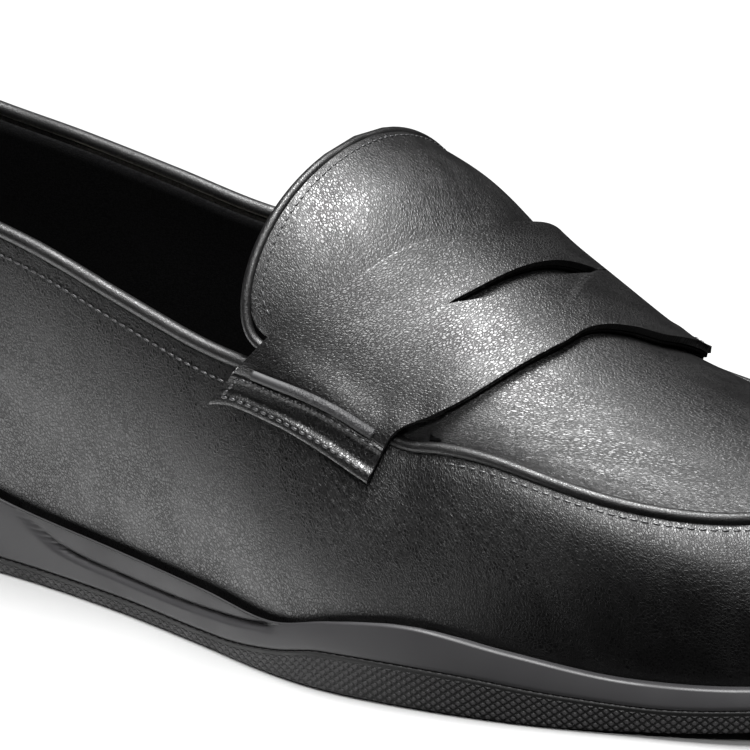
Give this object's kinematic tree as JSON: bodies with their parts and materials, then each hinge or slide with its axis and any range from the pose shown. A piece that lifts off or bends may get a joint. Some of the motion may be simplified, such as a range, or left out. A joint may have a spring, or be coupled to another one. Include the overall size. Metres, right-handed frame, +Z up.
{
  "type": "penny loafer",
  "caption": "Right-foot slip-on leather loafer with a raised apron seam, a slotted strap across the instep and a low rubber sole that wraps up round the heel.",
  "frame": {"origin": "on the ground face under the outsole, half way along the sole and on the line through the heel's middle", "axes": "+X to the toe, -Y to the outer side of the foot, +Y to the inner side, +Z up"},
  "size_m": [0.3, 0.1044, 0.0991],
  "materials": {
    "upper_leather": "semi-gloss black grained leather",
    "edge_leather": "rolled black leather cord, semi-gloss",
    "lining_leather": "matt black lining leather",
    "sock_leather": "matt black sock leather, faint grain",
    "outsole_rubber": "matt dark grey rubber, fine diamond knurl on the side",
    "midsole_rubber": "satin dark grey moulded rubber",
    "board_fibre": "brown cellulose fibre board",
    "filler_cork": "ground cork",
    "footbed_foam": "open-cell foam",
    "shank_steel": "spring steel",
    "stiffener_fibre": "resin-stiffened non-woven fibre",
    "thread_black": "waxed black sewing thread"
  },
  "bodies": {
    "root": {"outsole": "outsole_rubber", "midsole": "midsole_rubber", "bottom_filler": "filler_cork", "insole_board": "board_fibre", "footbed_foam": "footbed_foam", "sock_liner": "sock_leather", "shank": "shank_steel", "vamp": "upper_leather", "heel_counter": "stiffener_fibre", "toe_puff": "stiffener_fibre", "side_reinforcement_outer": "stiffener_fibre", "side_reinforcement_inner": "stiffener_fibre", "heel_grip": "lining_leather", "quarter_lining_outer": "lining_leather", "quarter_lining_inner": "lining_leather", "vamp_lining": "lining_leather", "apron": "upper_leather", "apron_lining": "lining_leather", "backstay": "upper_leather", "strap_lining": "lining_leather", "penny_strap": "upper_leather", "strap_rib_outer": "edge_leather", "strap_rib_inner": "edge_leather", "strap_thread_outer": "thread_black", "strap_thread_inner": "thread_black", "seam_piping": "edge_leather", "topline_bead": "edge_leather", "tongue_bead": "edge_leather", "seam_thread": "thread_black", "topline_thread_outer": "thread_black", "topline_thread_inner": "thread_black", "tongue_thread": "thread_black"}
  },
  "joints": []
}
